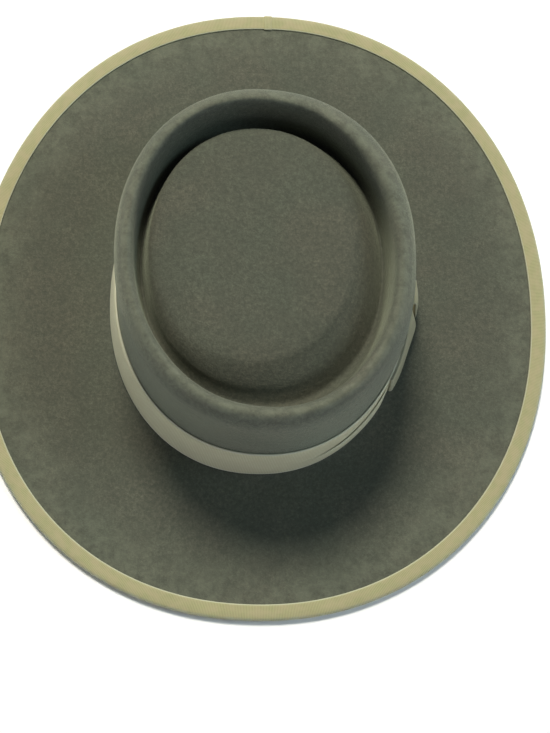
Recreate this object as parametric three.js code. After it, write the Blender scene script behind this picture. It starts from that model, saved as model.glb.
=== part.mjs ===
// Gambler hat: one felt body with a flat wide brim and a telescope crown, whose raised rim runs round a
// sunken oval top. A ribbon binds the brim's edge, a ribbon band runs round the crown, and a flat bow
// sits on the band at the wearer's left.
// Millimetres, +Z up, the hat's front towards -Y, the wearer's left towards +X.
// The origin is under the middle of the hat, on the surface that the bound brim rests on.
import * as THREE from 'three';

// Stock
const feltThickness = 2;
const ribbonThickness = 1;
const gap = 0.3;

// Brim and its binding
const brimLength = 376.6;
const brimWidth = 341.4;
const bindingWidth = 9;
const bindingEdgeRadius = 0.8;
const feltUnderside = ribbonThickness + gap;
const brimTop = feltUnderside + feltThickness;
const bindingHeight = brimTop + gap + ribbonThickness;
const bindingInset = ribbonThickness + gap;

// How far every oval squares off between its ends and its sides, 2 being a plain ellipse
const fullness = 2.12;

// Band round the foot of the crown
const bandBottom = 5.2;
const bandHeight = 26.5;

// Bow on the band at the wearer's left
const bowReach = 52.5;
const bowKnotWidth = 15;
const bowLoopSlit = 0.8;
const bowPuff = { low: 0.6, high: 0 };
const bowLoopFlare = 0.9;
const bowKnotMargin = 1.6;

// How finely the ovals, the bow's loops and their folded ends are divided
const around = 72;
const bowSteps = 8;
const foldSteps = 4;
const knotSteps = 2;

// A table's rows as objects with the columns' names
const table = (columns, rows) => rows.map((row) => (
  Object.fromEntries(row.map((value, index) => [columns[index], value]))));

// Every section is a level oval. shiftX and shiftY move it towards the wearer's left and towards the back.
// behind is how much wider it is behind than in front, and skew how much fuller it is at the back left
// and front right corners than at the other two, both in percent.
const ovalColumns = ['place', 'halfLength', 'halfWidth', 'height', 'shiftX', 'shiftY', 'behind', 'skew'];

const [brimEdge] = table(ovalColumns, [
  ['brim outline', brimLength / 2, brimWidth / 2, 0, 0, 0, -2.7, 0],
]);

// The band's outer face
const [bandLowerEdge, bandUpperEdge] = table(ovalColumns, [
  ['band bottom', 104.9, 87.3, bandBottom, -1.3, 0, 0, -0.5],
  ['band top', 99.8, 85, bandBottom + bandHeight, 1, 0, 0.8, -1.2],
]);

// The felt's outer face from the middle of the sunken top out to the brim's edge.
// rings is the number of rings from this row to the next one.
const feltSections = table([...ovalColumns, 'rings'], [
  ['top centre', 0, 0, 83, -1, 0, 1, 0, 1],
  ['inner dome', 27, 21.5, 82.9, -1, 0, 1, 0, 1],
  ['outer dome', 55, 48, 81.9, -2, 0, 1, 0, 1],
  ['dome shoulder', 69.8, 57.5, 78.8, -3.5, 6.7, 1, 0, 1],
  ['dome side', 74.5, 62, 73.5, -1.5, 4, 1, -0.5, 1],
  ['dome foot', 77.5, 65, 68, 0, 2.5, 1, -1, 1],
  ['channel', 80.6, 67.2, 64.5, 0.4, 1.1, 1, -1.3, 1],
  ['channel side', 83.6, 68.9, 68.5, 0.6, 0.1, 0.5, -1.8, 1],
  ['dent wall', 85.1, 70, 80, 1, 0.1, 0, -2.2, 1],
  ['rim inside', 86.6, 71.3, 91.6, 1.5, 0, 0, -3, 2],
  ['rim crest', 89.8, 74.2, 95, 1.7, -1.3, 0.6, -2.8, 2],
  ['rim outside', 94.2, 78.7, 92.5, 2, -0.4, 2, -2.2, 1],
  ['shoulder', 97.2, 81.6, 86.8, 2.1, 0.2, 2.6, -1.5, 1],
  ['upper wall', 98, 82.9, 77, 2.2, 0.2, 2, -1.6, 1],
  ['middle wall', 98.2, 83.8, 55, 2.2, 0, 1.5, -1.5, 1],
  ['band top', 98.4, 83.6, bandBottom + bandHeight, 1, 0, 0.8, -1.2, 1],
  ['wall foot', 102.4, 84.8, 8, -1.1, 0, 0, -0.5, 1],
  ['brim break', 103.5, 85.9, 5, -1.3, 0, 0, -0.5, 1],
  ['brim root', 107, 89.4, brimTop, -1.3, 0, 0, -0.4, 1],
  ['brim middle', 146, 129.1, brimTop, -0.4, 0, -1.3, 0, 1],
  ['brim edge', brimLength / 2 - bindingInset, brimWidth / 2 - bindingInset, brimTop, 0, 0, -2.7, 0, 0],
]);

// A power of cosine or sine that keeps its sign, which squares an oval off a little
const softened = (value) => Math.sign(value) * Math.abs(value) ** (2 / fullness);

// One point of an oval. The angle runs from the wearer's left towards the back.
function ovalPoint(section, angle) {
  const left = softened(Math.cos(angle));
  const back = softened(Math.sin(angle));
  const skewed = 1 + (section.skew / 100) * 2 * left * back;
  return new THREE.Vector3(
    section.halfWidth * left * skewed * (1 + (section.behind / 100) * back) + section.shiftX,
    section.halfLength * back * skewed + section.shiftY,
    section.height,
  );
}

// The same oval, larger all round by the given distance
const grown = (section, distance) => ({
  ...section,
  halfLength: section.halfLength + distance,
  halfWidth: section.halfWidth + distance,
});

// A section part of the way between two others
const between = (first, second, part) => Object.fromEntries(ovalColumns.slice(1).map((column) => (
  [column, THREE.MathUtils.lerp(first[column], second[column], part)])));

// The rings of the outer face, on a smooth line through the table's rows
function smoothSections(rows) {
  const line = new THREE.CatmullRomCurve3(
    rows.map((row) => new THREE.Vector3(row.halfLength, row.halfWidth, row.height)));
  return rows.flatMap((row, index) => {
    const next = rows[Math.min(index + 1, rows.length - 1)];
    return Array.from({ length: Math.max(1, row.rings) }, (unused, step) => {
      const part = step / Math.max(1, row.rings);
      const point = line.getPoint((index + part) / (rows.length - 1));
      return { ...between(row, next, part), halfLength: point.x, halfWidth: point.y, height: point.z };
    });
  });
}

// The inner face: every ring moved into the felt, square to the line that the rings follow
function innerSections(rings, thickness) {
  return rings.map((ring, index) => {
    if (ring.halfLength === 0) return { ...ring, height: ring.height - thickness };
    const before = rings[Math.max(0, index - 1)];
    const after = rings[Math.min(rings.length - 1, index + 1)];
    const outward = (after.halfLength + after.halfWidth - before.halfLength - before.halfWidth) / 2;
    const upward = after.height - before.height;
    const reach = Math.hypot(outward, upward);
    return {
      ...grown(ring, (upward / reach) * thickness),
      height: ring.height - (outward / reach) * thickness,
    };
  });
}

function geometryFrom(points, triangles) {
  const geometry = new THREE.BufferGeometry();
  geometry.setAttribute('position', new THREE.Float32BufferAttribute(points.flatMap((p) => p.toArray()), 3));
  geometry.setIndex(triangles);
  geometry.computeVertexNormals();
  return geometry;
}

// A body of oval rings. Its profile either closes on itself, or starts and ends on the middle line.
function ovalBody(sections, profileCloses) {
  const points = [];
  const ringStarts = sections.map((section) => {
    const start = points.length;
    const count = section.halfLength === 0 ? 1 : around;
    for (let i = 0; i < count; i += 1) points.push(ovalPoint(section, (i / around) * 2 * Math.PI));
    return { start, count };
  });
  const vertex = (ring, i) => ring.start + (ring.count === 1 ? 0 : i % around);
  const triangles = [];
  const joins = profileCloses ? sections.length : sections.length - 1;
  for (let k = 0; k < joins; k += 1) {
    const ring = ringStarts[k];
    const next = ringStarts[(k + 1) % sections.length];
    for (let i = 0; i < around; i += 1) {
      if (next.count > 1) triangles.push(vertex(ring, i), vertex(next, i), vertex(next, i + 1));
      if (ring.count > 1) triangles.push(vertex(ring, i), vertex(next, i + 1), vertex(ring, i + 1));
    }
  }
  return geometryFrom(points, triangles);
}

// The band's outer face at a height, moved outwards by the given distance
const bandOval = (height, distance) => (
  grown(between(bandLowerEdge, bandUpperEdge, (height - bandBottom) / bandHeight), distance));

// A point over the band at the wearer's left, at a distance y towards the back
function pointOverBand(y, height, distance) {
  const oval = bandOval(height, distance);
  const angle = Math.asin(Math.sign(y) * (Math.abs(y) / oval.halfLength) ** (fullness / 2));
  return ovalPoint(oval, angle);
}

function makeFelt() {
  const outer = smoothSections(feltSections);
  const inner = innerSections(outer, feltThickness);
  return ovalBody([...outer, ...inner.reverse()], false);
}

// A folded ribbon round the brim's edge, open towards the crown
function makeBinding() {
  const profile = [
    { inset: bindingWidth, height: 0 },
    { inset: bindingWidth, height: ribbonThickness },
    { inset: ribbonThickness, height: ribbonThickness },
    { inset: ribbonThickness, height: bindingHeight - ribbonThickness },
    { inset: bindingWidth, height: bindingHeight - ribbonThickness },
    { inset: bindingWidth, height: bindingHeight },
    { inset: bindingEdgeRadius, height: bindingHeight },
    { inset: 0, height: bindingHeight - bindingEdgeRadius },
    { inset: 0, height: bindingEdgeRadius },
    { inset: bindingEdgeRadius, height: 0 },
  ];
  return ovalBody(profile.map((row) => ({ ...grown(brimEdge, -row.inset), height: row.height })), true);
}

function makeBand() {
  const top = bandBottom + bandHeight;
  return ovalBody([
    bandOval(bandBottom, -ribbonThickness),
    bandOval(top, -ribbonThickness),
    bandOval(top, 0),
    bandOval(bandBottom, 0),
  ], true);
}

// One loop of the bow: a ribbon laid along the band, folded over at its far end and brought back.
// side is -1 for the loop towards the hat's front and 1 for the one towards its back.
function makeBowLoop(side) {
  const foldCentre = gap + ribbonThickness + bowLoopSlit / 2;
  const foldRadius = ribbonThickness + bowLoopSlit / 2;
  const layer = (distance, puffed) => Array.from({ length: bowSteps + 1 }, (unused, step) => {
    const part = step / bowSteps;
    return { part, distance, puffed: puffed * Math.sin(Math.PI * part) ** 2 };
  });
  const outside = layer(foldCentre + foldRadius, 1);
  const slitOutside = layer(foldCentre + bowLoopSlit / 2, 1);
  const slitInside = layer(foldCentre - bowLoopSlit / 2, 0);
  const inside = layer(gap, 0);
  const fold = Array.from({ length: foldSteps - 1 }, (unused, step) => {
    const turn = Math.PI * ((step + 1) / foldSteps - 0.5);
    const reach = foldRadius * Math.cos(turn);
    return { part: 1 + reach / bowReach, distance: foldCentre + foldRadius * Math.sin(turn), puffed: 0 };
  });
  const plan = [...inside, ...fold, ...outside.reverse(), ...slitOutside, ...slitInside.reverse()];
  if (side > 0) plan.reverse();

  const lowerEdge = (part) => bandBottom + bowKnotMargin - bowLoopFlare * part;
  const upperEdge = (part) => bandBottom + bandHeight - bowKnotMargin + bowLoopFlare * part;
  const along = (part) => side * THREE.MathUtils.lerp(gap, bowReach, part);
  const lower = plan.map((p) => pointOverBand(
    along(p.part), lowerEdge(p.part), p.distance + bowPuff.low * p.puffed));
  const upper = plan.map((p) => pointOverBand(
    along(p.part), upperEdge(p.part), p.distance + bowPuff.high * p.puffed));

  const count = plan.length;
  const triangles = [];
  for (let i = 0; i < count; i += 1) {
    const next = (i + 1) % count;
    triangles.push(i, next, count + next, i, count + next, count + i);
  }
  const flat = lower.map((p) => new THREE.Vector2(p.x, p.y));
  for (const [a, b, c] of THREE.ShapeUtils.triangulateShape(flat, [])) {
    triangles.push(a, c, b, count + a, count + b, count + c);
  }
  return geometryFrom([...lower, ...upper], triangles);
}

// The knot: a ribbon over the middle of the bow, with its two ends turned in above and below the loops
function makeBowKnot() {
  const loopFace = gap + 2 * ribbonThickness + bowLoopSlit;
  const inner = loopFace + gap;
  const outer = inner + ribbonThickness;
  const low = bandBottom;
  const high = bandBottom + bandHeight;
  const section = [
    { distance: gap, height: low },
    { distance: outer, height: low },
    { distance: outer, height: high },
    { distance: gap, height: high },
    { distance: gap, height: high - ribbonThickness },
    { distance: inner, height: high - ribbonThickness },
    { distance: inner, height: low + ribbonThickness },
    { distance: gap, height: low + ribbonThickness },
  ];
  const count = section.length;
  const points = [];
  for (let k = 0; k <= knotSteps; k += 1) {
    const y = bowKnotWidth * (k / knotSteps - 0.5);
    section.forEach((p) => points.push(pointOverBand(y, p.height, p.distance)));
  }
  const triangles = [];
  for (let k = 0; k < knotSteps; k += 1) {
    for (let i = 0; i < count; i += 1) {
      const next = (i + 1) % count;
      const here = k * count;
      const there = here + count;
      triangles.push(here + i, there + next, here + next, here + i, there + i, there + next);
    }
  }
  const flat = section.map((p) => new THREE.Vector2(p.distance, p.height));
  const last = knotSteps * count;
  for (const [a, b, c] of THREE.ShapeUtils.triangulateShape(flat, [])) {
    triangles.push(a, b, c, last + a, last + c, last + b);
  }
  return geometryFrom(points, triangles);
}

const felt = new THREE.MeshStandardMaterial({ color: 0x62645a, roughness: 0.95, metalness: 0 });
const bindingRibbon = new THREE.MeshStandardMaterial({ color: 0xa9a173, roughness: 0.75, metalness: 0 });
const bandRibbon = new THREE.MeshStandardMaterial({ color: 0x8b8c74, roughness: 0.75, metalness: 0 });

function piece(name, geometry, material) {
  const mesh = new THREE.Mesh(geometry, material.clone());
  mesh.name = name;
  return mesh;
}

const bow = new THREE.Group();
bow.add(
  piece('bow_front_loop', makeBowLoop(-1), bandRibbon),
  piece('bow_rear_loop', makeBowLoop(1), bandRibbon),
  piece('bow_knot', makeBowKnot(), bandRibbon),
);

const group = new THREE.Group();
group.add(
  piece('felt_body', makeFelt(), felt),
  piece('brim_binding', makeBinding(), bindingRibbon),
  piece('hat_band', makeBand(), bandRibbon),
  bow,
);

export default group;
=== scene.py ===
# Gambler hat: the looks of the felt, the bound brim, the hat band and its bow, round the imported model
import math

import bpy
import numpy as np
from mathutils import Matrix, Vector


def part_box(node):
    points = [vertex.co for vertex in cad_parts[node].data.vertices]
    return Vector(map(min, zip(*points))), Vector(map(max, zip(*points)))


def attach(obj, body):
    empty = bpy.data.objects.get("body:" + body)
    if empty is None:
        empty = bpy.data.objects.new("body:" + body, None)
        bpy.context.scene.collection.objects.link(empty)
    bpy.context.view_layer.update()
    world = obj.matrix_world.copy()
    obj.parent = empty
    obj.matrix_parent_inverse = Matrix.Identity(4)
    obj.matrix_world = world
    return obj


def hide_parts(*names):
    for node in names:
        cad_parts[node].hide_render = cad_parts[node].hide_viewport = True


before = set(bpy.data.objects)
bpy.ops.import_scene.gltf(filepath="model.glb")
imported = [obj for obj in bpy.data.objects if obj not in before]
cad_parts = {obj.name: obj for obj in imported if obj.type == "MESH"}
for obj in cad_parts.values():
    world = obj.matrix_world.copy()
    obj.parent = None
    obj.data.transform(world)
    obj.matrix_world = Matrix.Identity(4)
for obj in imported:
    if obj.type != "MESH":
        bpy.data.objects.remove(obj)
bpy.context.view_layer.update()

mm = 0.001
gap = 0.3 * mm  # between two pieces that touch
print("frame loaded:", ", ".join(sorted(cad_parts)))


# Node helpers
def nodeWith(tree, kind, inputs=(), **settings):  # a node with its settings, its values and its links
    node = tree.nodes.new(kind)
    for name, value in settings.items():
        setattr(node, name, value)
    for socket, value in dict(inputs).items():
        if isinstance(value, bpy.types.NodeSocket):
            tree.links.new(value, node.inputs[socket])
        else:
            node.inputs[socket].default_value = value
    return node


def calc(tree, operation, *values, clamp=False):
    given = dict(enumerate(values))
    return nodeWith(tree, "ShaderNodeMath", given, operation=operation, use_clamp=clamp).outputs[0]


def remap(tree, value, low, high, newLow, newHigh):
    inputs = {"Value": value, "From Min": low, "From Max": high, "To Min": newLow, "To Max": newHigh}
    return nodeWith(tree, "ShaderNodeMapRange", inputs, clamp=True).outputs[0]


def mixColors(tree, share, first, second):
    inputs = {0: share, 6: first, 7: second}
    return nodeWith(tree, "ShaderNodeMix", inputs, data_type="RGBA").outputs[2]


def noiseValue(tree, vector, scale, detail, roughness=0.5):
    inputs = {"Vector": vector, "Scale": scale, "Detail": detail, "Roughness": roughness}
    return nodeWith(tree, "ShaderNodeTexNoise", inputs).outputs[0]


def stretched(tree, noise, reach):  # spreads the noise within this reach of its middle over 0 to 1
    return remap(tree, noise, 0.5 - reach, 0.5 + reach, 0, 1)


def newGroup(name, kind, inputs, outputs):  # an empty node group with its named sockets
    tree = bpy.data.node_groups.new(name, kind)
    for label, socketType, value in inputs:
        socket = tree.interface.new_socket(name=label, in_out="INPUT", socket_type="NodeSocket" + socketType)
        if value is not None:
            socket.default_value = value
    for label, socketType in outputs:
        tree.interface.new_socket(name=label, in_out="OUTPUT", socket_type="NodeSocket" + socketType)
    return tree, tree.nodes.new("NodeGroupInput").outputs


def endGroup(tree, results):
    nodeWith(tree, "NodeGroupOutput", results)
    return tree


def placeGroup(tree, group, inputs=()):  # a shared effect inside a material
    return nodeWith(tree, "ShaderNodeGroup", inputs, node_tree=group).outputs


# Effects that several materials share
def buildFeltGrain():  # fibres, the flecks of matted fur and the slow clouds of the dye
    tree, given = newGroup(
        "felt grain", "ShaderNodeTree",
        [("Fibre Scale", "Float", 2400), ("Fleck Scale", "Float", 900), ("Mottle Scale", "Float", 420),
         ("Cloud Scale", "Float", 45)],
        [("Grain", "Float"), ("Mottle", "Float"), ("Cloud", "Float"), ("Hue", "Float"), ("Height", "Float")])
    place = nodeWith(tree, "ShaderNodeTexCoord").outputs["Object"]
    fibre = noiseValue(tree, place, given["Fibre Scale"], detail=3, roughness=0.7)
    fleck = noiseValue(tree, place, given["Fleck Scale"], detail=3, roughness=0.65)
    mottle = noiseValue(tree, place, given["Mottle Scale"], detail=4, roughness=0.75)
    cloud = noiseValue(tree, place, given["Cloud Scale"], detail=4, roughness=0.6)
    hueShift = {0: place, 1: (0.31, 0.17, 0.05)}  # so that the hue doesn't follow the clouds
    moved = nodeWith(tree, "ShaderNodeVectorMath", hueShift, operation="ADD").outputs[0]
    hueScale = calc(tree, "MULTIPLY", given["Cloud Scale"], 0.6)
    hue = noiseValue(tree, moved, hueScale, detail=2)
    fur = calc(tree, "ADD", calc(tree, "MULTIPLY", fibre, 0.45), calc(tree, "MULTIPLY", fleck, 0.55))
    return endGroup(tree, {
        "Grain": stretched(tree, fur, 0.14),
        "Mottle": stretched(tree, mottle, 0.14),
        "Cloud": stretched(tree, cloud, 0.16),
        "Hue": stretched(tree, hue, 0.15),
        "Height": calc(tree, "ADD", fur, mottle),
    })


weave = {
    "threadTurns": 4200,  # radians for each metre across the ribbon
    "strandShift": 2.3,  # in the noise, from one rib to the next
    "slowAlong": 60,  # scales of the slow changes of shade
    "slowAcross": 90,
    "slowPlace": 3.0,  # the layer of the noise that they are taken from
    "fadeScale": 2.3,
    "ribShare": 0.5,  # of the relief
    "threadShare": 0.25,
}


def buildRibbonWeave():  # cross ribs, the threads that wrap them and the smooth woven edge
    tree, given = newGroup(
        "ribbon weave", "ShaderNodeTree",
        [("Along", "Float", 0), ("Across", "Float", 0), ("Edge Distance", "Float", 0),
         ("Rib Pitch", "Float", 0.001), ("Selvedge", "Float", 0.001)],
        [("Rib", "Float"), ("Thread", "Float"), ("Fade", "Float"), ("Selvedge", "Float"),
         ("Height", "Float")])
    ribs = calc(tree, "DIVIDE", given["Along"], given["Rib Pitch"])
    rib = calc(tree, "ABSOLUTE", calc(tree, "SINE", calc(tree, "MULTIPLY", ribs, math.pi)))
    turns = calc(tree, "MULTIPLY", given["Across"], weave["threadTurns"])
    strand = nodeWith(tree, "ShaderNodeCombineXYZ", {
        0: calc(tree, "MULTIPLY", ribs, weave["strandShift"]),
        1: turns})
    thread = noiseValue(tree, strand.outputs[0], scale=1, detail=2)
    slow = nodeWith(tree, "ShaderNodeCombineXYZ", {
        0: calc(tree, "MULTIPLY", given["Along"], weave["slowAlong"]),
        1: calc(tree, "MULTIPLY", given["Across"], weave["slowAcross"]),
        2: weave["slowPlace"]})
    shade = noiseValue(tree, slow.outputs[0], scale=1, detail=3)
    fade = noiseValue(tree, slow.outputs[0], scale=weave["fadeScale"], detail=3)
    mixed = calc(tree, "ADD", calc(tree, "MULTIPLY", thread, 0.5), calc(tree, "MULTIPLY", shade, 0.5))
    threads = calc(tree, "ABSOLUTE", calc(tree, "SINE", turns))
    wrapped = calc(tree, "MULTIPLY", threads, weave["threadShare"])
    height = calc(tree, "ADD", calc(tree, "MULTIPLY", rib, weave["ribShare"]), wrapped)
    selvedgeStart = calc(tree, "MULTIPLY", given["Selvedge"], 0.75)
    return endGroup(tree, {
        "Rib": rib,
        "Thread": stretched(tree, mixed, 0.14),
        "Fade": stretched(tree, fade, 0.12),
        "Selvedge": remap(tree, given["Edge Distance"], selvedgeStart, given["Selvedge"], 1, 0),
        "Height": height,
    })


def buildEdgeWearAndPaintedLight():  # patches along a marked strip: rubbed wear where hands and shelves touch, painted highlight on the felt's rim crest and brim edge and on the band's fold, painted shade on the binding's outer fold
    tree, given = newGroup(
        "edge wear and painted light", "ShaderNodeTree",
        [("Mask", "Float", 0), ("Patch Scale", "Float", 150), ("Amount", "Float", 0.5)],
        [("Wear And Painted Light", "Float")])
    place = nodeWith(tree, "ShaderNodeTexCoord").outputs["Object"]
    patches = noiseValue(tree, place, given["Patch Scale"], detail=4, roughness=0.65)
    patch = remap(tree, patches, 0.4, 0.62, 0.25, 1)
    worn = calc(tree, "MULTIPLY", calc(tree, "MULTIPLY", given["Mask"], patch), given["Amount"], clamp=True)
    return endGroup(tree, {"Wear And Painted Light": worn})


feltGrain = buildFeltGrain()
ribbonWeave = buildRibbonWeave()
edgeWearAndPaintedLight = buildEdgeWearAndPaintedLight()


# Materials
def newMaterial(name, specular, sheen=None):  # the sheen's weight, roughness and tint
    material = bpy.data.materials.new(name)
    material.use_nodes = True
    shader = material.node_tree.nodes["Principled BSDF"]
    shader.inputs["Specular IOR Level"].default_value = specular
    if sheen:
        for label, value in zip(("Weight", "Roughness", "Tint"), sheen):
            shader.inputs["Sheen " + label].default_value = value
    return material, material.node_tree, shader


def pointValue(tree, name):
    return nodeWith(tree, "ShaderNodeAttribute", attribute_name=name).outputs["Fac"]


def finishShader(tree, shader, color, roughness, height, strength, distance):
    relief = nodeWith(tree, "ShaderNodeBump", {"Height": height, "Strength": strength, "Distance": distance})
    for socket, value in (("Base Color", color), ("Roughness", roughness), ("Normal", relief.outputs[0])):
        tree.links.new(value, shader.inputs[socket])


feltLook = {
    "green": (0.124, 0.138, 0.098, 1),
    "brown": (0.15, 0.145, 0.104, 1),
    "deep": (0.066, 0.07, 0.053, 1),  # between the fibres and in the clouds
    # the lighter colour of the painted highlight on the rim crest and near the brim's edge, with a little
    # rubbed nap
    "rubbedAndPaintedLight": (0.18, 0.194, 0.137, 1),
    "deepShares": {"Cloud": 0.35, "Mottle": 0.9, "Grain": 0.9},
    "wearAndPaintedLight": {"Patch Scale": 130, "Amount": 0.45},
    "roughness": (1, 0.86),  # between the fibres and on them
    "specular": 0.15,
    "sheen": (0.28, 0.42, (0.78, 0.86, 0.6, 1)),
    "bump": (0.7, 0.5 * mm),  # strength and distance
}


def buildFeltMaterial():
    material, tree, shader = newMaterial("grey-green fur felt", feltLook["specular"], feltLook["sheen"])
    grain = placeGroup(tree, feltGrain)
    wearAndPaintedLight = placeGroup(tree, edgeWearAndPaintedLight, {"Mask": pointValue(tree, "wearAndPaintedLight"), **feltLook["wearAndPaintedLight"]})
    color = mixColors(tree, grain["Hue"], feltLook["green"], feltLook["brown"])
    for effect, share in feltLook["deepShares"].items():
        color = mixColors(tree, remap(tree, grain[effect], 0, 1, share, 0), color, feltLook["deep"])
    # lighter on the rim crest and near the brim's edge: painted highlight, with a little rubbed nap
    color = mixColors(tree, wearAndPaintedLight["Wear And Painted Light"], color, feltLook["rubbedAndPaintedLight"])
    roughness = remap(tree, grain["Grain"], 0, 1, *feltLook["roughness"])
    finishShader(tree, shader, color, roughness, grain["Height"], *feltLook["bump"])
    return material


ribbon = {
    "thickness": 0.6 * mm,
    "ribPitch": 0.9 * mm,
    "ribHeight": 0.09 * mm,
    "selvedge": 0.9 * mm,
    "threadShade": (0.72, 1.1),
    "fadeShare": 0.5,
    "selvedgeShare": 0.85,
    "wearAndPaintedLight": {"Patch Scale": 220, "Amount": 0.8},
    "roughness": (0.85, 0.6),  # between the ribs and on them
    "specular": 0.3,
    "sheen": (0.12, 0.35, (0.9, 0.9, 0.75, 1)),
    "bump": (0.4, 0.12 * mm),
}
bindingLook = {
    "ridge": (0.385, 0.375, 0.19, 1),
    "groove": (0.235, 0.228, 0.11, 1),
    "faded": (0.4, 0.335, 0.2, 1),
    "selvedge": (0.46, 0.47, 0.32, 1),
    "rubbedAndPaintedLight": (0.34, 0.37, 0.26, 1),  # painted shade: the outer fold, where it curves under, is greyer and less yellow
}
bandLook = {
    "ridge": (0.52, 0.51, 0.33, 1),
    "groove": (0.35, 0.34, 0.215, 1),
    "faded": (0.43, 0.4, 0.26, 1),
    "selvedge": (0.5, 0.5, 0.37, 1),
    # lighter: the painted highlight along the fold's lip
    "rubbedAndPaintedLight": (0.55, 0.55, 0.42, 1),
}
bowShadedLook = {  # the same ribbon with painted shade: darker colours than the band's stand in for the shade the bow lies in
    "ridge": (0.28, 0.28, 0.165, 1),
    "groove": (0.185, 0.18, 0.105, 1),
    "faded": (0.26, 0.245, 0.155, 1),
    "selvedge": (0.3, 0.3, 0.205, 1),
    "rubbedAndPaintedLight": (0.32, 0.32, 0.22, 1),
}


def buildRibbonMaterial(name, look):
    material, tree, shader = newMaterial(name, ribbon["specular"], ribbon["sheen"])
    woven = placeGroup(tree, ribbonWeave, {
        "Along": pointValue(tree, "along"),
        "Across": pointValue(tree, "across"),
        "Edge Distance": pointValue(tree, "edgeDistance"),
        "Rib Pitch": ribbon["ribPitch"],
        "Selvedge": ribbon["selvedge"]})
    wearAndPaintedLight = placeGroup(tree, edgeWearAndPaintedLight, {"Mask": pointValue(tree, "wearAndPaintedLight"), **ribbon["wearAndPaintedLight"]})
    thread = remap(tree, woven["Thread"], 0, 1, *ribbon["threadShade"])
    fade = calc(tree, "MULTIPLY", woven["Fade"], ribbon["fadeShare"])
    selvedge = calc(tree, "MULTIPLY", woven["Selvedge"], ribbon["selvedgeShare"])
    color = mixColors(tree, calc(tree, "MULTIPLY", woven["Rib"], thread), look["groove"], look["ridge"])
    color = mixColors(tree, fade, color, look["faded"])
    # the marked strip's colour: rubbed wear on the bow and knot, painted highlight along the band's fold,
    # painted shade on the binding's outer fold
    color = mixColors(tree, wearAndPaintedLight["Wear And Painted Light"], color, look["rubbedAndPaintedLight"])
    color = mixColors(tree, selvedge, color, look["selvedge"])
    roughness = remap(tree, woven["Rib"], 0, 1, *ribbon["roughness"])
    finishShader(tree, shader, color, roughness, woven["Height"], *ribbon["bump"])
    return material


feltMaterial = buildFeltMaterial()
bindingMaterial = buildRibbonMaterial("khaki ribbon", bindingLook)
bandMaterial = buildRibbonMaterial("sage ribbon", bandLook)
# the bow's ribbon with painted shade, darker than the band's
bowShadedMaterial = buildRibbonMaterial("sage bow ribbon with painted shade", bowShadedLook)
print("materials built")

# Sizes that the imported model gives
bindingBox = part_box("brim_binding")
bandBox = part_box("hat_band")
brimLength = bindingBox[1][1] - bindingBox[0][1]
brimWidth = bindingBox[1][0] - bindingBox[0][0]
bindingHeight = bindingBox[1][2]
bandBottom = bandBox[0][2]
bandHeight = bandBox[1][2] - bandBox[0][2]

# The hat's ovals: every row is a level oval, in millimetres and percent
fullness = 2.12  # how far the ovals square off, 2 being a plain ellipse
ovalColumns = ("halfLength", "halfWidth", "height", "shiftX", "shiftY", "behind", "skew")


def ovalRows(rows):
    scale = (mm, mm, mm, mm, mm, 1, 1)
    return [{name: value * unit for name, value, unit in zip(ovalColumns, row, scale)} for row in rows]


def softened(value):  # squares an oval off a little
    return np.sign(value) * np.abs(value) ** (2 / fullness)


def ovalPoints(row, angles):  # the angle runs from the wearer's left towards the back
    left = softened(np.cos(angles))
    back = softened(np.sin(angles))
    skewed = 1 + row["skew"] / 100 * 2 * left * back
    x = row["halfWidth"] * left * skewed * (1 + row["behind"] / 100 * back) + row["shiftX"]
    y = row["halfLength"] * back * skewed + row["shiftY"]
    return np.stack([x, y, x * 0 + row["height"]], axis=-1)


def grown(row, distance):
    return {**row, "halfLength": row["halfLength"] + distance, "halfWidth": row["halfWidth"] + distance}


def between(first, second, part):
    return {name: first[name] + (second[name] - first[name]) * part for name in ovalColumns}


def distancesAlong(points):
    steps = np.linalg.norm(np.diff(points, axis=0), axis=1)
    return np.concatenate([[0], np.cumsum(steps)])


def bump(value, centre, spread):
    return np.exp(-((value - centre) / spread) ** 2)


def ramp(value, start, reach):  # 0 up to the start, and 1 from the reach beyond it
    return np.clip((value - start) / reach, 0, 1)


def meshObject(name, points, faces):
    mesh = bpy.data.meshes.new(name)
    mesh.from_pydata([tuple(point) for point in points], [], faces)
    mesh.validate()
    mesh.shade_smooth()
    piece = bpy.data.objects.new(name, mesh)
    bpy.context.scene.collection.objects.link(piece)
    return piece


def storePointValues(piece, name, values):
    attribute = piece.data.attributes.new(name, "FLOAT", "POINT")
    attribute.data.foreach_set("value", np.asarray(values, np.float32))


# Felt: one piece from the sunken top out to the brim's edge and back underneath
felt = {
    "thickness": 2 * mm,
    "edgeInset": 1.3 * mm,  # from the ribbon's outline to the felt's edge
    "around": 320,
    "crownWaves": 0.22 * mm,
    "crownWaveLength": 18 * mm,
    "crownWaveStart": 33 * mm,  # above the floor, and over how much more they grow to their full height
    "crownWaveGrowth": 12 * mm,
    "brimWaves": 0.3 * mm,
    "brimWaveLength": 30 * mm,
    "brimWaveStart": 108 * mm,  # half the length of the oval where they start, and where they end
    "brimWaveEnd": 176 * mm,
    "brimWaveGrowth": 15 * mm,
    "creaseDepth": 0.22 * mm,
    "creaseHeights": (78.4 * mm, 76.1 * mm, 73 * mm),  # on the sunken top's left slope
    "creaseDrifts": (0.9, -0.6, 0.8),  # how far each wanders up and down, in millimetres, and its phase
    "creaseTurns": 2.3,  # how often it would wander up and down in a whole turn round the hat
    "creaseWidth": 0.45 * mm,
    "creaseSpread": 0.75,  # radians to either side of the wearer's left
    "creaseCentre": 12 * mm,  # behind the hat's middle
    "dentReach": 71 * mm,  # no crease shows farther out than this
    # painted highlight along the rim crest and near the brim's edge, with a little rubbed nap
    "rimHighlightHeight": 94.6 * mm,
    "rimHighlightSpread": 1.8 * mm,
    "brimHighlight": 0.9,  # painted highlight beside the binding
    "brimHighlightPlace": 0.95,  # as a share of the way out to the edge
    "brimHighlightSpread": 0.1,
}
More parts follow.
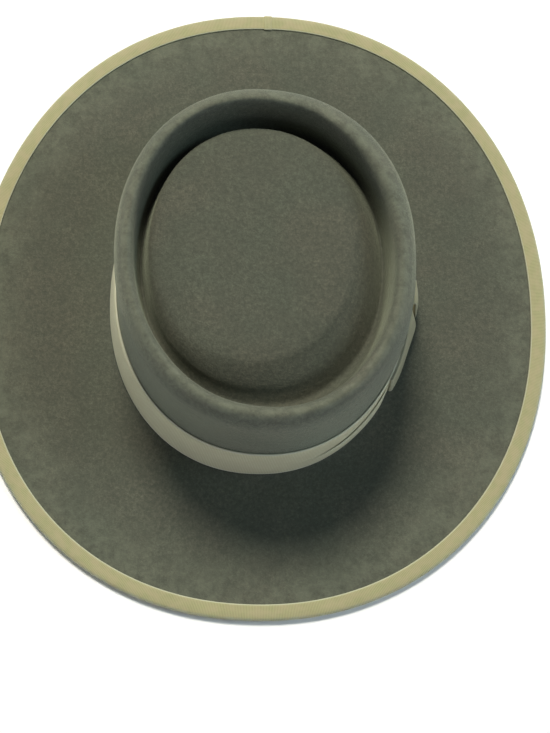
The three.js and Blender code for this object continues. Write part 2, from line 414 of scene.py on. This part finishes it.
feltTable = [  # an oval's columns, and the distance between the rings up to the next row in millimetres
    (0, 0, 83, -1, 0, 1, 0, 3),  # top centre
    (27, 21.5, 82.9, -1, 0, 1, 0, 3),  # inner dome
    (55, 48, 81.9, -2, 0, 1, 0, 1.6),  # outer dome
    (69.8, 57.5, 78.8, -3.5, 6.7, 1, 0, 0.7),  # dome shoulder
    (74.5, 62, 73.5, -1.5, 4, 1, -0.5, 0.7),  # dome side
    (77.5, 65, 68, 0, 2.5, 1, -1, 0.9),  # dome foot
    (80.6, 67.2, 64.5, 0.4, 1.1, 1, -1.3, 0.9),  # channel
    (83.6, 68.9, 68.5, 0.6, 0.1, 0.5, -1.8, 1.5),  # channel side
    (85.1, 70, 80, 1, 0.1, 0, -2.2, 1.5),  # dent wall
    (86.6, 71.3, 91.6, 1.5, 0, 0, -3, 0.7),  # rim inside
    (89.8, 74.2, 95, 1.7, -1.3, 0.6, -2.8, 0.8),  # rim crest
    (94.2, 78.7, 92.5, 2, -0.4, 2, -2.2, 0.9),  # rim outside
    (97.2, 81.6, 86.8, 2.1, 0.2, 2.6, -1.5, 1.5),  # shoulder
    (98, 82.9, 77, 2.2, 0.2, 2, -1.6, 3),  # upper wall
    (98.2, 83.8, 55, 2.2, 0, 1.5, -1.5, 3),  # middle wall
    (98.4, 83.6, 31.7, 1, 0, 0.8, -1.2, 3),  # band top
    (102.4, 84.8, 8, -1.1, 0, 0, -0.5, 1),  # wall foot
    (103.5, 85.9, 5, -1.3, 0, 0, -0.5, 1),  # brim break
    (107, 89.4, 3.3, -1.3, 0, 0, -0.4, 3.5),  # brim root
    (146, 129.1, 3.3, -0.4, 0, -1.3, 0, 3.5),  # brim middle
]
feltRows = ovalRows([row[:-1] for row in feltTable])
ringSteps = [row[-1] * mm for row in feltTable]
brimTop = feltRows[-1]["height"]
brimEdge = dict(zip(ovalColumns, (brimLength / 2, brimWidth / 2, 0, 0, 0, -2.7, 0)))
feltRows.append({**grown(brimEdge, -felt["edgeInset"]), "height": brimTop})


def catmullPoint(four, steps, part):  # centripetal, from the second to the third of four points
    before, start, end, after = four
    middle = (end - start) / steps[1]
    slopeStart = (start - before) / steps[0] - (end - before) / (steps[0] + steps[1]) + middle
    slopeEnd = middle - (after - start) / (steps[1] + steps[2]) + (after - end) / steps[2]
    slopeStart = slopeStart * steps[1]
    slopeEnd = slopeEnd * steps[1]
    square = -3 * start + 3 * end - 2 * slopeStart - slopeEnd
    cube = 2 * start - 2 * end + slopeStart + slopeEnd
    return start + slopeStart * part + square * part**2 + cube * part**3


def smoothRings(rows):  # rings on a smooth line through the rows
    table = np.array([[row[name] for name in ovalColumns] for row in rows])
    table = np.vstack([2 * table[0] - table[1], table, 2 * table[-1] - table[-2]])
    lengths = np.linalg.norm(np.diff(table[:, :3], axis=0), axis=1)
    rings = []
    for index, ringStep in enumerate(ringSteps):
        count = max(1, round(lengths[index + 1] / math.sqrt(2) / ringStep))
        for part in np.arange(count) / count:
            values = catmullPoint(table[index:index + 4], np.sqrt(lengths[index:index + 3]), part)
            rings.append(dict(zip(ovalColumns, values)))
    rings.append(rows[-1])
    return rings


def innerRings(rings, thickness):  # every ring moved into the felt, square to the profile
    moved = []
    for index, ring in enumerate(rings):
        if ring["halfLength"] == 0:
            moved.append({**ring, "height": ring["height"] - thickness})
            continue
        before = rings[max(0, index - 1)]
        after = rings[min(len(rings) - 1, index + 1)]
        outward = (after["halfLength"] + after["halfWidth"] - before["halfLength"] - before["halfWidth"]) / 2
        upward = after["height"] - before["height"]
        reach = math.hypot(outward, upward)
        inner = grown(ring, upward / reach * thickness)
        inner["height"] = ring["height"] - outward / reach * thickness
        moved.append(inner)
    return moved


def slowWaves(points, length):  # the unevenness of felt that was blocked by hand
    x, y, z = (points[..., axis] / length for axis in range(3))
    wave = np.sin(x + 1.3 * np.sin(0.74 * y)) * np.sin(0.9 * y + 0.7 + 1.1 * np.sin(0.59 * x))
    return (wave + 0.5 * np.sin(1.9 * x - 1.3 * y + 1.5 * z) * np.sin(2.1 * y + 1.1 * z)) / 1.5


def creases(points):  # soft lines pressed into the slope towards the wearer's left
    angle = np.arctan2(points[..., 1] - felt["creaseCentre"], points[..., 0])
    lines = 0
    for drift, height in zip(felt["creaseDrifts"], felt["creaseHeights"]):
        wander = drift * mm * np.sin(felt["creaseTurns"] * angle + drift)
        lines = lines + bump(points[..., 2] + wander, height, felt["creaseWidth"])
    inDent = np.abs(points[..., 0]) < felt["dentReach"]
    return -felt["creaseDepth"] * lines * bump(angle, 0, felt["creaseSpread"]) * inDent


def gridNormals(grid):
    normals = np.cross(np.gradient(grid, axis=0), np.roll(grid, -1, axis=1) - np.roll(grid, 1, axis=1))
    return normals / np.linalg.norm(normals, axis=-1, keepdims=True)


def buildFelt():
    outerRings = smoothRings(feltRows)
    insideRings = innerRings(outerRings[:-1:2] + outerRings[-1:], felt["thickness"])[::-1]
    count = felt["around"]
    angles = np.arange(count) * 2 * math.pi / count
    outer = np.stack([ovalPoints(ring, angles) for ring in outerRings[1:]])
    inner = np.stack([ovalPoints(ring, angles) for ring in insideRings[:-1]])
    reach = np.array([ring["halfLength"] for ring in outerRings[1:]])[:, None]
    onCrown = ramp(outer[..., 2], felt["crownWaveStart"], felt["crownWaveGrowth"])
    onBrim = ramp(reach, felt["brimWaveStart"], felt["brimWaveGrowth"])
    onBrim = onBrim * ramp(-reach, -felt["brimWaveEnd"], felt["brimWaveGrowth"])
    rise = onCrown * felt["crownWaves"] * slowWaves(outer, felt["crownWaveLength"]) + creases(outer)
    rise = rise + onBrim * felt["brimWaves"] * slowWaves(outer, felt["brimWaveLength"])
    outer = outer + gridNormals(outer) * rise[..., None]
    tops = [ovalPoints(ring, np.zeros(1)) for ring in (outerRings[0], insideRings[-1])]
    points = np.concatenate([tops[0], outer.reshape(-1, 3), inner.reshape(-1, 3), tops[1]])

    ringTotal = len(outer) + len(inner)
    sides = [(left, (left + 1) % count) for left in range(count)]
    faces = [(0, 1 + left, 1 + right) for left, right in sides]
    for ring in range(ringTotal - 1):
        here = 1 + ring * count
        there = here + count
        faces += [(here + left, there + left, there + right, here + right) for left, right in sides]
    last = 1 + (ringTotal - 1) * count
    faces += [(last + left, len(points) - 1, last + right) for left, right in sides]
    piece = meshObject("felt_hood", points, faces)
    # painted highlight along the rim crest and near the brim's edge, with a little rubbed nap
    wearAndPaintedLight = bump(points[:, 2], felt["rimHighlightHeight"], felt["rimHighlightSpread"])
    outward = np.hypot(points[:, 0] / brimEdge["halfWidth"], points[:, 1] / brimEdge["halfLength"])
    wearAndPaintedLight = wearAndPaintedLight + felt["brimHighlight"] * bump(outward, felt["brimHighlightPlace"], felt["brimHighlightSpread"])
    wearAndPaintedLight[1 + len(outer) * count:] = 0  # none on the inner face
    storePointValues(piece, "wearAndPaintedLight", wearAndPaintedLight)
    piece.data.materials.append(feltMaterial)
    return piece


feltHood = buildFelt()
print("felt built:", len(feltHood.data.polygons), "faces")


# Ribbons: a face and a back, each a grid of columns along the ribbon and rows across it
def buildRibTree():  # raises the ribs of a ribbon from its smooth surface
    tree, given = newGroup(
        "ribbon ribs", "GeometryNodeTree",
        [("Ribbon", "Geometry", None), ("Rib Pitch", "Float", 0.001), ("Rib Height", "Float", 0.0001),
         ("Ribbon Material", "Material", None)],
        [("Geometry", "Geometry")])

    def named(name):
        found = nodeWith(tree, "GeometryNodeInputNamedAttribute", {"Name": name}, data_type="FLOAT")
        return found.outputs[0]

    ribs = calc(tree, "MULTIPLY", calc(tree, "DIVIDE", named("along"), given["Rib Pitch"]), math.pi)
    height = calc(tree, "MULTIPLY", calc(tree, "ABSOLUTE", calc(tree, "SINE", ribs)), given["Rib Height"])
    height = calc(tree, "MULTIPLY", height, named("ribMask"))
    normal = nodeWith(tree, "GeometryNodeInputNormal").outputs[0]
    offset = nodeWith(
        tree, "ShaderNodeVectorMath", {0: normal, "Scale": height}, operation="SCALE").outputs[0]
    raised = nodeWith(tree, "GeometryNodeSetPosition", {"Geometry": given["Ribbon"], "Offset": offset})
    realized = nodeWith(tree, "GeometryNodeRealizeInstances", {0: raised.outputs[0]})
    finished = nodeWith(
        tree, "GeometryNodeSetMaterial",
        {"Geometry": realized.outputs[0], "Material": given["Ribbon Material"]})
    return endGroup(tree, {0: finished.outputs[0]})


ribTree = buildRibTree()


def applyTree(piece, tree, values):  # keeps the tree's result as the piece's plain mesh
    modifier = piece.modifiers.new("shape", "NODES")
    modifier.node_group = tree
    for item in tree.interface.items_tree:
        if item.in_out == "INPUT" and item.name in values:
            modifier[item.identifier] = values[item.name]
    depsgraph = bpy.context.evaluated_depsgraph_get()
    result = bpy.data.meshes.new_from_object(
        piece.evaluated_get(depsgraph), preserve_all_data_layers=True, depsgraph=depsgraph)
    piece.modifiers.remove(modifier)
    piece.data = result


def ribbonPiece(name, material, face, back, along, across, wearAndPaintedLight, closed=False):
    columns, rows = face.shape[:2]
    backRows = back.shape[1]
    points = np.concatenate([face.reshape(-1, 3), back.reshape(-1, 3)])
    faceIndex = np.arange(columns * rows).reshape(columns, rows).tolist()
    backIndex = (columns * rows + np.arange(columns * backRows).reshape(columns, backRows)).tolist()
    faces = []
    for column in range(columns if closed else columns - 1):
        following = (column + 1) % columns
        front, nextFront = faceIndex[column], faceIndex[following]
        rear, nextRear = backIndex[column], backIndex[following]
        for row in range(rows - 1):
            faces.append((front[row], nextFront[row], nextFront[row + 1], front[row + 1]))
        for row in range(backRows - 1):
            faces.append((rear[row], rear[row + 1], nextRear[row + 1], nextRear[row]))
        faces.append((rear[0], nextRear[0], nextFront[0], front[0]))
        faces.append((front[-1], nextFront[-1], nextRear[-1], rear[-1]))
    if not closed:
        faces.append(tuple(faceIndex[0]) + tuple(backIndex[0][::-1]))
        faces.append(tuple(backIndex[-1]) + tuple(faceIndex[-1][::-1]))
    piece = meshObject(name, points, faces)

    across = np.broadcast_to(across, (columns, rows))
    wearAndPaintedLight = np.broadcast_to(wearAndPaintedLight, (columns, rows))
    edge = np.minimum(across - across[:, :1], across[:, -1:] - across)
    backPick = np.round(np.linspace(0, rows - 1, backRows)).astype(int)
    mask = np.clip(edge / ribbon["selvedge"], 0, 1)
    for label, values, backValues in (
        ("along", np.repeat(along, rows), np.repeat(along, backRows)),
        ("across", across.ravel(), across[:, backPick].ravel()),
        ("edgeDistance", edge.ravel(), edge[:, backPick].ravel()),
        ("ribMask", mask.ravel(), np.zeros(columns * backRows)),
        ("wearAndPaintedLight", wearAndPaintedLight.ravel(), np.zeros(columns * backRows)),
    ):
        storePointValues(piece, label, np.concatenate([values, backValues]))
    applyTree(piece, ribTree, {
        "Rib Pitch": ribbon["ribPitch"], "Rib Height": ribbon["ribHeight"], "Ribbon Material": material})
    print(name, "built:", len(piece.data.polygons), "faces")
    return piece


def ribTotal(length):
    return max(4, round(length / ribbon["ribPitch"]))


def evenAngles(row, columnsPerRib):  # angles at even steps round an oval, and how far along each one is
    fine = np.linspace(0, 2 * math.pi, 6001)
    length = distancesAlong(ovalPoints(row, fine))
    count = ribTotal(length[-1]) * columnsPerRib
    along = np.arange(count) / count * length[-1]
    return np.interp(along, length, fine), along


# Binding: a ribbon folded over the brim's edge, whose ends overlap at the hat's back
binding = {
    "width": 9 * mm,
    "edgeRound": 1.7 * mm,
    "cornerPoints": 4,
    "bed": 0.45 * mm,  # how far its upper side sinks towards the felt
    "bedShares": (0.35, 0.85),  # of that, at half its width and near its inner edge
    "nearEdge": 1.6 * mm,  # from the inner edge, as is the next
    "atEdge": 0.5 * mm,
    "lowerLifts": (0.08 * mm, 0.4 * mm),  # how far its lower side rises there and at the inner edge
    "upperDrop": 0.35 * mm,  # how far its upper side drops at the inner edge
    # painted shade on the outer fold, where it curves under, over this spread
    "outerFoldShadeSpread": 1.1 * mm,
    "columnsPerRib": 3,
    "joinStart": -2.8 * mm,
    "joinEnd": 2.3 * mm,
    "joinColumns": 17,
    "joinFoot": 1.5 * mm,  # it shows above this height
    "joinRise": 0.45 * mm,
    "joinEndShare": 0.55,  # of the rise, at its two ends
    "joinGap": 0.03 * mm,
    "joinOverhang": 0.4 * mm,
    "joinWear": 0.2,
}


def bindingSection():  # inset from the outline and height, from the lower inner edge round to the upper one
    width, height, turn = binding["width"], bindingHeight, binding["edgeRound"]
    middle, near, edge = width * 0.5, width - binding["nearEdge"], width - binding["atEdge"]
    edgeLift, innerLift = binding["lowerLifts"]
    middleBed, nearBed = (share * binding["bed"] for share in binding["bedShares"])
    sunk = height - binding["bed"]
    turns = np.linspace(0, math.pi / 2, binding["cornerPoints"])
    lower = [(width, innerLift), (edge, edgeLift), (near, 0), (middle, 0)]
    corner = [(turn - turn * math.sin(angle), turn - turn * math.cos(angle)) for angle in turns]
    upper = [(turn - turn * math.cos(angle), height - turn + turn * math.sin(angle)) for angle in turns]
    top = [(middle, height - middleBed), (near, height - nearBed)]
    top += [(edge, sunk), (width, sunk - binding["upperDrop"])]
    return np.array(lower + corner + upper + top)


def offsetLine(line, distance):  # a line in a plane, moved square to itself
    tangent = np.gradient(line, axis=0)
    tangent /= np.linalg.norm(tangent, axis=1)[:, None]
    return line + np.stack([-tangent[:, 1], tangent[:, 0]], axis=1) * distance


def sweptSection(section, angles):
    rings = []
    for inset, height in section:
        ring = ovalPoints(grown(brimEdge, -inset), angles)
        ring[:, 2] = height
        rings.append(ring)
    return np.stack(rings, axis=1)


def buildBinding():
    section = bindingSection()
    angles, along = evenAngles(brimEdge, binding["columnsPerRib"])
    # painted shade, greyer, on the outer fold where it curves under
    wearAndPaintedLight = bump(section[:, 0], 0, binding["outerFoldShadeSpread"])
    return ribbonPiece(
        "binding_ribbon", bindingMaterial, sweptSection(section, angles),
        sweptSection(offsetLine(section, -ribbon["thickness"])[::3], angles),
        along, distancesAlong(section), wearAndPaintedLight, closed=True)


def buildBindingJoin():  # the short overlap that shows at the back
    section = bindingSection()
    section = section[section[:, 1] > binding["joinFoot"]]
    section[-1, 0] += binding["joinOverhang"]
    x = np.linspace(binding["joinEnd"], binding["joinStart"], binding["joinColumns"])
    angles = np.arccos(np.sign(x) * (np.abs(x) / brimEdge["halfWidth"]) ** (fullness / 2))
    arch = 1 - np.abs(np.linspace(-1, 1, binding["joinColumns"])) ** 6
    rises = binding["joinRise"] * (binding["joinEndShare"] + (1 - binding["joinEndShare"]) * arch)
    face = np.concatenate([
        sweptSection(offsetLine(section, rise), angle[None]) for rise, angle in zip(rises, angles)])
    back = sweptSection(offsetLine(section, binding["joinGap"]), angles)
    return ribbonPiece(
        "binding_join", bindingMaterial, face, back, distancesAlong(face[:, 0]), distancesAlong(section),
        binding["joinWear"])


bindingRibbon = buildBinding()
bindingJoin = buildBindingJoin()

# Hat band: a ribbon round the foot of the crown, with one long fold in front of the bow
band = {
    "columnsPerRib": 4,
    "rowsBelow": 7,
    "rowsAbove": 8,
    "rowsBehind": 5,
    "tuck": 0.5 * mm,  # how far the upper edge bends in to the felt
    "tuckHeight": 3 * mm,
    "bowAngle": 28,  # degrees from the wearer's left
    "bowEase": 6,
    "backing": 0.5 * mm,  # the band's own ends lie double under the bow
    "foldRise": 1 * mm,  # how far the lower strip stands off the upper one
    "foldMargin": 0.6 * mm,  # between the fold and the plain rows above and below it
    # painted highlight along the fold's lip, over this spread
    "foldHighlight": 0.6 * mm,
    "flatFoot": 6 * mm,  # the lower edge lies flat, and the strip has its full rise from here up
    "foldAngles": (-180, -76, -68, -62, -56, -36, -29.5, 0, 60, 180),  # from the wearer's left
    "foldHeights": (8, 8.5, 10, 12, 13.7, 20.6, 22.8, 22, 8, 8),  # above the band's lower edge, mm
    "foldShares": (0, 0, 0.2, 0.75, 1, 1, 0, 0, 0, 0),
}
foldLip = [  # over the fold and down behind it: height by the fold, the slit's share of it, rise
    (-0.25, 0, 1),
    (0, 0, 0.88),
    (0.05, 0, 0.6),
    (0.1, -1, 0.45),
    (0.15, -1.3, 0.2),
    (0.2, -1, 0),
]
bandEdges = ovalRows([  # the outer face's lower and upper edges
    (104.9, 87.3, 5.2, -1.3, 0, 0, -0.5),
    (99.8, 85, 31.7, 1, 0, 0.8, -1.2),
])


def bandOval(height, distance):
    row = grown(between(bandEdges[0], bandEdges[1], (height - bandBottom) / bandHeight), distance)
    row["height"] = height
    return row


def buildBand():
    angles, along = evenAngles(bandOval(bandBottom, 0), band["columnsPerRib"])
    degrees = (np.degrees(angles) + 180) % 360 - 180
    fold = np.interp(degrees, band["foldAngles"], band["foldHeights"])[:, None] * mm
    share = np.interp(degrees, band["foldAngles"], band["foldShares"])[:, None]
    clear = ramp(np.abs(degrees), band["bowAngle"], band["bowEase"])[:, None]  # the bow keeps the edge out
    margin = band["foldMargin"]
    lipHeight, slit, lipRise = np.array(foldLip).T
    lower = np.linspace(0, 1, band["rowsBelow"])[None, :] * (fold - margin)
    lip = fold + (lipHeight[None, :] + slit[None, :] * share) * mm
    upper = np.linspace(0, 1, band["rowsAbove"])[None, :]
    upper = fold + margin + upper * (bandHeight - fold - margin)
    across = np.concatenate([lower, lip, upper], axis=1)
    rise = np.concatenate([[1] * band["rowsBelow"], lipRise, [0] * band["rowsAbove"]])[None, :]
    rise = rise * share * band["foldRise"] * ramp(across, 0, band["flatFoot"])
    backAcross = np.linspace(0, bandHeight, band["rowsBehind"])[None, :]

    def tucked(height):
        return band["tuck"] * clear * np.clip(1 - (bandHeight - height) / band["tuckHeight"], 0, 1) ** 2

    face = ovalPoints(bandOval(bandBottom + across, rise - tucked(across)), angles[:, None])
    backing = ribbon["thickness"] + band["backing"] * (1 - clear) + tucked(backAcross)
    inside = bandOval(bandBottom + backAcross, -backing)
    # painted highlight along the fold's lip, which stands off and catches the light
    wearAndPaintedLight = bump(across, fold, band["foldHighlight"]) * share
    return ribbonPiece(
        "band_ribbon", bandMaterial, face, ovalPoints(inside, angles[:, None]), along, across, wearAndPaintedLight,
        closed=True)


bandRibbon = buildBand()

# Bow: two flat loops along the band and a knot over their middle
bow = {
    "reach": 52 * mm,
    "lift": 0.12 * mm,  # between the band and the loop's inner layer
    "outside": 2 * mm,  # from the band's face to the loop's outer face
    "puffs": {-1: 3.1 * mm, 1: 1.6 * mm},  # of the front and the rear loop beside the knot
    "puffPlace": 0.2,  # this and the next three are shares of the loop's reach
    "puffSpread": 0.27,
    "heldEnd": 0.05,  # held down under the knot up to here
    "freeing": 0.2,  # and free after this much more
    "belly": 2.2 * mm,  # how far the outer layer leans out towards its foot
    "bellyLoss": 0.75,  # share of the belly that is gone at the folded end
    "pinch": 0.58 * mm,  # how far the outer layer leans in until it meets the inner one at the top
    "spring": 0.15 * mm,  # how far the folded end stands off the band
    "flare": 0.2 * mm,
    "tipWear": 1.2 * mm,
    "knotMargin": 0.8 * mm,
    "knotWidth": 15 * mm,
    "knotOutside": 4.6 * mm,
    "knotSplay": 2.6 * mm,  # how far the knot's foot stands out
    "knotRound": 1.4 * mm,
    "knotCornerPoints": 7,
    "knotBulge": 0.9 * mm,
    "knotWaist": 0.06,  # share of its width that it is narrower by half way up
    "knotEdges": 1.2,  # share of the bulge that is lost towards its two edges
    "knotWear": 0.4,
    "knotWearSpread": 0.12,
    "columnsPerRib": 4,
    "foldPoints": 13,
    "layerPoints": 41,
    "rows": 13,  # the back has every third one, the last included
}


def pointOverBand(y, height, distance):
    oval = bandOval(height, distance)
    return ovalPoints(oval, np.arcsin(np.sign(y) * (np.abs(y) / oval["halfLength"]) ** (fullness / 2)))


def evenLine(line, *others):  # the line and what goes with it, at even steps of a part of a rib
    length = distancesAlong(line)
    count = ribTotal(length[-1]) * bow["columnsPerRib"] + 1
    wanted = np.linspace(0, length[-1], count)
    parts = [np.interp(wanted, length, values) for values in (*line.T, *others)]
    return np.stack(parts[:2], axis=1), wanted, parts[2:]


def buildLoop(name, side):  # side is -1 for the loop towards the front and 1 for the one towards the back
    half = ribbon["thickness"] / 2
    near, far = bow["lift"] + half, bow["outside"] - half
    centre, radius = (near + far) / 2, (far - near) / 2
    turn = np.linspace(-math.pi / 2, math.pi / 2, bow["foldPoints"])
    out = np.linspace(gap, bow["reach"], bow["layerPoints"])[:-1]
    y = np.concatenate([out, bow["reach"] + radius * np.cos(turn), out[::-1]])
    distance = np.concatenate([out * 0 + near, centre + radius * np.sin(turn), out * 0 + far])
    outerLayer = np.concatenate([out * 0, (1 + np.sin(turn)) / 2, out * 0 + 1])
    line, along, (layer,) = evenLine(np.stack([y, distance], axis=1), outerLayer)
    part = np.clip(line[:, 0] / bow["reach"], 0, 1)[:, None]
    shares = np.linspace(0, 1, bow["rows"])[None, :]
    low = bandBottom + bow["knotMargin"] - bow["flare"] * part
    high = bandBottom + bandHeight - bow["knotMargin"] + bow["flare"] * part
    height = low + (high - low) * shares
    layer = layer[:, None]
    beside = ramp(part, bow["heldEnd"], bow["freeing"])
    puff = bow["puffs"][side] * bump(part, bow["puffPlace"], bow["puffSpread"]) * beside * (1 - shares**2)
    belly = bow["belly"] * beside * (1 - bow["bellyLoss"] * part**5) * (1 - shares) ** 0.7
    lean = layer * (puff + belly - bow["pinch"] * shares**1.5) + bow["spring"] * part**4

    def sheet(shift):
        moved = offsetLine(line, shift)
        return pointOverBand(side * moved[:, :1] + 0 * height, height, moved[:, 1:] + lean)

    face, back = sheet(-half), sheet(half)
    wearAndPaintedLight = bump(line[:, 0], bow["reach"] + radius, bow["tipWear"])[:, None]
    if side > 0:
        face, back, wearAndPaintedLight = face[::-1], back[::-1], wearAndPaintedLight[::-1]
    return ribbonPiece(name, bowShadedMaterial, face, back[:, ::3], along, shares * bandHeight, wearAndPaintedLight)


def buildKnot():
    half = ribbon["thickness"] / 2
    low, high = bandBottom + half, bandBottom + bandHeight - half
    outer, turn = bow["knotOutside"] - half, bow["knotRound"]
    arc = np.linspace(0, math.pi / 2, bow["knotCornerPoints"])
    distance = np.concatenate([
        [gap + half, gap + 2 * half], outer - turn + turn * np.sin(arc), outer - turn + turn * np.cos(arc),
        [gap + 2 * half, gap + half]])
    height = np.concatenate([
        [low, low], low + turn - turn * np.cos(arc), high - turn + turn * np.sin(arc), [high, high]])
    line, along, _ = evenLine(np.stack([distance, height], axis=1))
    rising = np.sin(math.pi * np.clip((line[:, 1] - low) / (high - low), 0, 1))[:, None]
    across = np.linspace(1, -1, bow["rows"])[None, :]
    y = across * bow["knotWidth"] / 2 * (1 - bow["knotWaist"] * rising)
    standing = ramp(line[:, 0], gap + half, outer - gap - half)[:, None]
    lean = bow["knotBulge"] * rising * (1 - bow["knotEdges"] * across**4)
    lean = lean + bow["knotSplay"] * standing * (high - line[:, 1:]) / (high - low)

    def sheet(shift):
        moved = offsetLine(line, shift)
        return pointOverBand(y, moved[:, 1:] + 0 * y, moved[:, :1] + lean)

    wearAndPaintedLight = bump(across, 1, bow["knotWearSpread"]) + bump(across, -1, bow["knotWearSpread"])
    return ribbonPiece(
        "knot_ribbon", bowShadedMaterial, sheet(-half), sheet(half)[:, ::3], along,
        (1 - across) / 2 * bow["knotWidth"], bow["knotWear"] * wearAndPaintedLight)


frontLoop = buildLoop("front_loop_ribbon", -1)
rearLoop = buildLoop("rear_loop_ribbon", 1)
knotRibbon = buildKnot()

# Every piece rides on the hat's one body
for piece, slotName, nodes in [
    (feltHood, "felt", ["felt_body"]),
    (bindingRibbon, "binding_ribbon", ["brim_binding"]),
    (bindingJoin, "binding_ribbon", []),
    (bandRibbon, "band_ribbon", ["hat_band"]),
    (frontLoop, "band_ribbon", ["bow_front_loop"]),
    (rearLoop, "band_ribbon", ["bow_rear_loop"]),
    (knotRibbon, "band_ribbon", ["bow_knot"]),
]:
    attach(piece, "root")
    if nodes:
        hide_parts(*nodes)

# Camera: looks down on the hat from the front, a little from its right
camera = {
    "elevation": 74.30,
    "azimuth": 183.272,
    "roll": 5.034,
    "distance": 895.22 * mm,
    "aim": Vector((10.377 * mm, -38.77 * mm, 0)),
    "lens": 74.45,
    "sensor": 36,
}


def directionFrom(azimuth, elevation):  # the azimuth runs from the hat's back towards its left
    azimuth, elevation = math.radians(azimuth), math.radians(elevation)
    flat = math.cos(elevation)
    return Vector((math.sin(azimuth) * flat, math.cos(azimuth) * flat, math.sin(elevation)))


def buildCamera():
    towards = directionFrom(camera["azimuth"], camera["elevation"])
    data = bpy.data.cameras.new("camera")
    data.lens = camera["lens"]
    data.sensor_width = camera["sensor"]
    data.sensor_fit = "AUTO"
    cameraObject = bpy.data.objects.new("camera", data)
    cameraObject.matrix_world = (
        Matrix.Translation(camera["aim"] + towards * camera["distance"])
        @ towards.to_track_quat("Z", "Y").to_matrix().to_4x4()
        @ Matrix.Rotation(math.radians(camera["roll"]), 4, "Z")
    )
    bpy.context.scene.collection.objects.link(cameraObject)
    bpy.context.scene.camera = cameraObject


buildCamera()

# Studio: a pale floor, a soft key light from behind, two weak lights and a surround bright at the horizon
studio = {
    "floorColor": (0.95, 0.95, 0.95, 1),
    "floorRoughness": 0.9,
    "floorSpecular": 0.1,
    "floorReach": 4,
    "aim": Vector((0, 0, 0.05)),
    "surroundColor": (0.83, 0.85, 1.0, 1),
    "surroundStrength": 5.4,
    "surroundBase": 0.1,
    "surroundFall": 10,  # how fast the surround darkens above the horizon
}
lampColumns = ("name", "azimuth", "elevation", "distance", "size", "power", "color")
lamps = [dict(zip(lampColumns, row)) for row in [  # angles in degrees
    ("key", -11, 57, 3, 0.9, 106, (1.0, 0.95, 0.86)),
    ("left", 90, 40, 3, 1.3, 24, (0.66, 0.89, 1.0)),
    ("right", 270, 30, 0.5, 0.25, 0.15, (0.83, 1.0, 0.7)),
]]


def buildStudio():
    mesh = bpy.data.meshes.new("floor")
    reach = studio["floorReach"]
    corners = [(-reach, -reach, 0), (reach, -reach, 0), (reach, reach, 0), (-reach, reach, 0)]
    mesh.from_pydata(corners, [], [(0, 1, 2, 3)])
    floor = bpy.data.objects.new("floor", mesh)
    bpy.context.scene.collection.objects.link(floor)
    material, _, shader = newMaterial("pale floor", studio["floorSpecular"])
    shader.inputs["Base Color"].default_value = studio["floorColor"]
    shader.inputs["Roughness"].default_value = studio["floorRoughness"]
    mesh.materials.append(material)

    for lamp in lamps:
        direction = directionFrom(lamp["azimuth"], lamp["elevation"])
        data = bpy.data.lights.new(lamp["name"], "AREA")
        data.shape = "DISK"
        data.size = lamp["size"]
        data.energy = lamp["power"]
        data.color = lamp["color"]
        lampObject = bpy.data.objects.new(lamp["name"], data)
        lampObject.location = studio["aim"] + direction * lamp["distance"]
        lampObject.rotation_euler = direction.to_track_quat("Z", "Y").to_euler()
        bpy.context.scene.collection.objects.link(lampObject)

    world = bpy.data.worlds.new("surround")  # brightest at the horizon
    world.use_nodes = True
    tree = world.node_tree
    background = tree.nodes["Background"]
    background.inputs["Color"].default_value = studio["surroundColor"]
    heading = nodeWith(tree, "ShaderNodeTexCoord").outputs["Generated"]
    height = nodeWith(tree, "ShaderNodeSeparateXYZ", {0: heading}).outputs["Z"]
    low = calc(tree, "SUBTRACT", 1.0, height, clamp=True)
    fall = calc(tree, "POWER", low, studio["surroundFall"])
    strength = calc(tree, "MULTIPLY", fall, studio["surroundStrength"])
    strength = calc(tree, "ADD", strength, studio["surroundBase"])
    tree.links.new(strength, background.inputs["Strength"])
    bpy.context.scene.world = world
    bpy.context.scene.view_settings.view_transform = "Standard"


buildStudio()
print("studio built")
